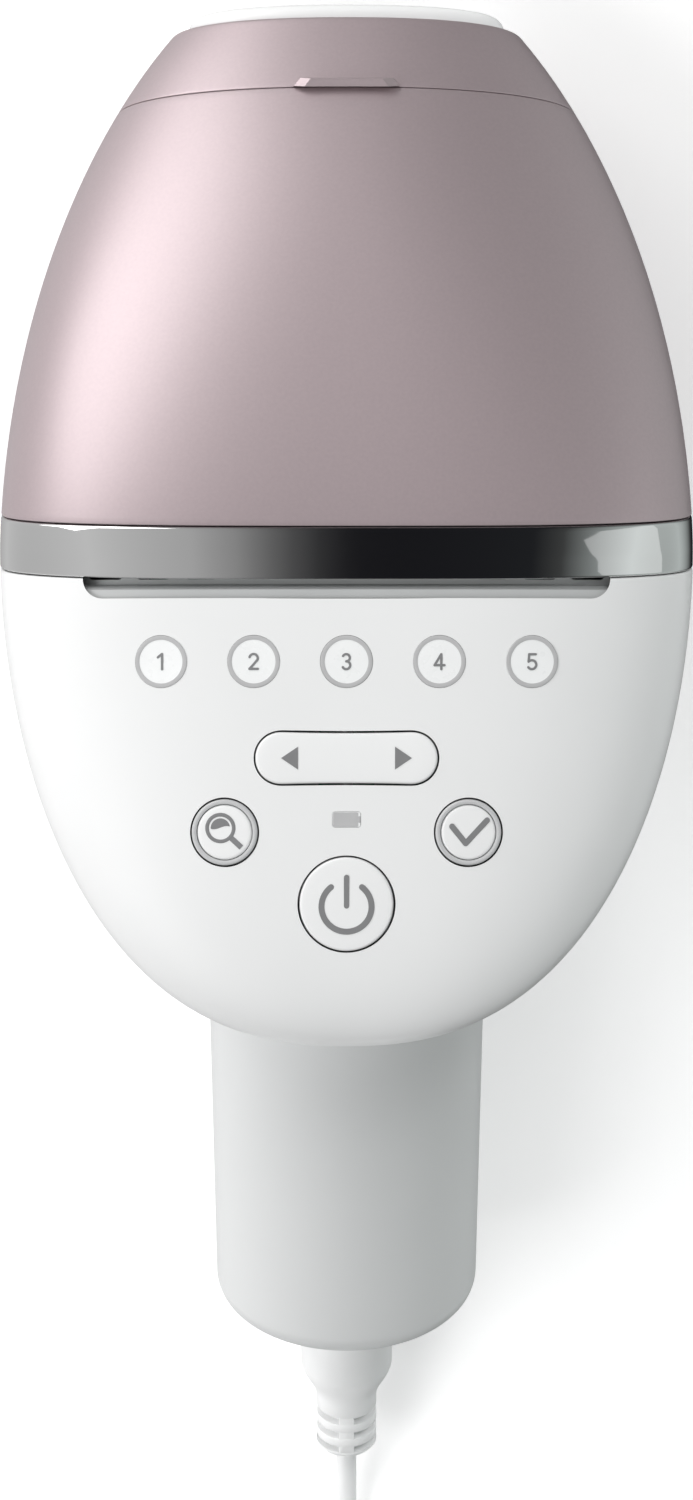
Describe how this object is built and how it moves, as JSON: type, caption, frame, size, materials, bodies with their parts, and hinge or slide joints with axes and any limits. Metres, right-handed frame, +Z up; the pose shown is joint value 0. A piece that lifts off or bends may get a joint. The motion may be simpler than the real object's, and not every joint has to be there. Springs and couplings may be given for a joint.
{
  "type": "ipl hair remover",
  "caption": "Flash epilator with a domed head, keypad, chrome band, round grip, slip-on treatment attachment, and a coiled lead with a wall adapter; keypad, trigger and attachment move.",
  "frame": {"origin": "under the middle of the device on the table, cord pieces left out", "axes": "+Z up out of the table and nearly out of the keypad, +Y from the grip towards the flash window, +X to the right seen from above"},
  "size_m": [0.0884, 0.2944, 0.0727],
  "materials": {
    "white_shell": "moulded ABS, satin gloss",
    "white_button": "moulded, satin",
    "light_lens": "translucent white light guide with a printed grey ring",
    "bezel_grey": "grey, satin",
    "trigger_white": "moulded, satin",
    "mauve_paint": "satin pearl paint over moulded plastic",
    "chrome": "dark mirror plating",
    "grille_grey": "moulded, matt",
    "window_glass": "clear polished",
    "filter_glass": "amber coated filter",
    "lamp_glass": "clear quartz",
    "reflector_metal": "polished",
    "heat_sink_metal": "as extruded",
    "contact_brass": "gold flash",
    "lamp_ceramic": "unglazed",
    "black_plastic": "moulded, matt",
    "membrane_rubber": "silicone keypad mat",
    "circuit_board": "solder mask",
    "transformer_tape": "yellow tape over windings",
    "capacitor_sleeve": "sleeved can",
    "cell_wrap": "wrapped cell",
    "lead_red": "wire insulation",
    "steel": "bright",
    "pin_nickel": "nickel plated",
    "cord_white": "soft satin PVC",
    "adapter_white": "fine satin texture",
    "tie_grey": "matt"
  },
  "bodies": {
    "root": {"rear_shell": "white_shell", "grip_front": "white_shell", "grip_back": "white_shell", "intensity_light_1": "light_lens", "intensity_light_2": "light_lens", "intensity_light_3": "light_lens", "intensity_light_4": "light_lens", "intensity_light_5": "light_lens", "battery_lens": "light_lens", "front_shell": "mauve_paint", "chrome_band": "chrome", "vent_grille": "grille_grey", "uv_window": "filter_glass", "flash_lamp": "lamp_glass", "lamp_reflector": "reflector_metal", "heat_sink": "heat_sink_metal", "contact_block": "contact_brass", "lamp_holder": "lamp_ceramic", "nose_barrel": "black_plastic", "fan_housing": "black_plastic", "air_duct": "black_plastic", "microswitch": "black_plastic", "dc_socket": "black_plastic", "battery_cradle": "black_plastic", "keypad_membrane": "membrane_rubber", "control_board": "circuit_board", "power_board": "circuit_board", "trigger_transformer": "transformer_tape", "main_capacitor": "capacitor_sleeve", "battery_cell_1": "cell_wrap", "battery_cell_2": "cell_wrap", "internal_lead": "lead_red", "toggle_pin": "steel", "trigger_spring": "steel", "case_screw_1": "steel", "case_screw_2": "steel", "case_screw_3": "steel", "case_screw_4": "steel", "adapter_pin_1": "pin_nickel", "adapter_pin_2": "pin_nickel", "cord_near": "cord_white", "cord_far": "cord_white", "cord_coil": "cord_white", "device_plug": "cord_white", "adapter_body": "adapter_white", "cord_tie": "tie_grey"},
    "power": {"power_button": "white_button"},
    "toggle": {"toggle_rocker": "white_button"},
    "sensor": {"sensor_button": "white_button", "sensor_bezel": "bezel_grey"},
    "confirm": {"confirm_button": "white_button", "confirm_bezel": "bezel_grey"},
    "trigger": {"flash_trigger": "trigger_white"},
    "fan": {"fan_rotor": "black_plastic"},
    "attachment": {"attachment_skirt": "mauve_paint", "attachment_window": "window_glass"},
    "safety": {"safety_ring": "white_shell"}
  },
  "joints": [
    {"name": "power_press", "type": "slide", "parent": "root", "child": "power", "axis": [0, -0.0785, -0.9969], "range_m": [0, 0.0008], "stiffness_N_per_m": 500},
    {"name": "toggle_rock", "type": "hinge", "parent": "root", "child": "toggle", "pos_m": [0, -0.00367, 0.0662], "axis": [0, 0.9906, -0.1369], "range_deg": [-3.5, 3.5], "stiffness_Nm_per_rad": 0.03},
    {"name": "sensor_press", "type": "slide", "parent": "root", "child": "sensor", "axis": [0.073, -0.1114, -0.9911], "range_m": [0, 0.0008], "stiffness_N_per_m": 500},
    {"name": "confirm_press", "type": "slide", "parent": "root", "child": "confirm", "axis": [-0.073, -0.1114, -0.9911], "range_m": [0, 0.0008], "stiffness_N_per_m": 500},
    {"name": "flash_press", "type": "slide", "parent": "root", "child": "trigger", "axis": [0, -0.3469, 0.9379], "range_m": [0, 0.002], "stiffness_N_per_m": 400, "deforming": ["trigger_spring"]},
    {"name": "fan_spin", "type": "hinge", "parent": "root", "child": "fan", "pos_m": [0, 0.03483, 0.02692], "axis": [0, 0.9553, -0.2957], "continuous": true},
    {"name": "attachment_pull", "type": "slide", "parent": "root", "child": "attachment", "axis": [0, 0.9553, -0.2957], "range_m": [0, 0.03]},
    {"name": "safety_press", "type": "slide", "parent": "attachment", "child": "safety", "axis": [0, -0.9553, 0.2957], "range_m": [0, 0.0008], "stiffness_N_per_m": 800}
  ]
}
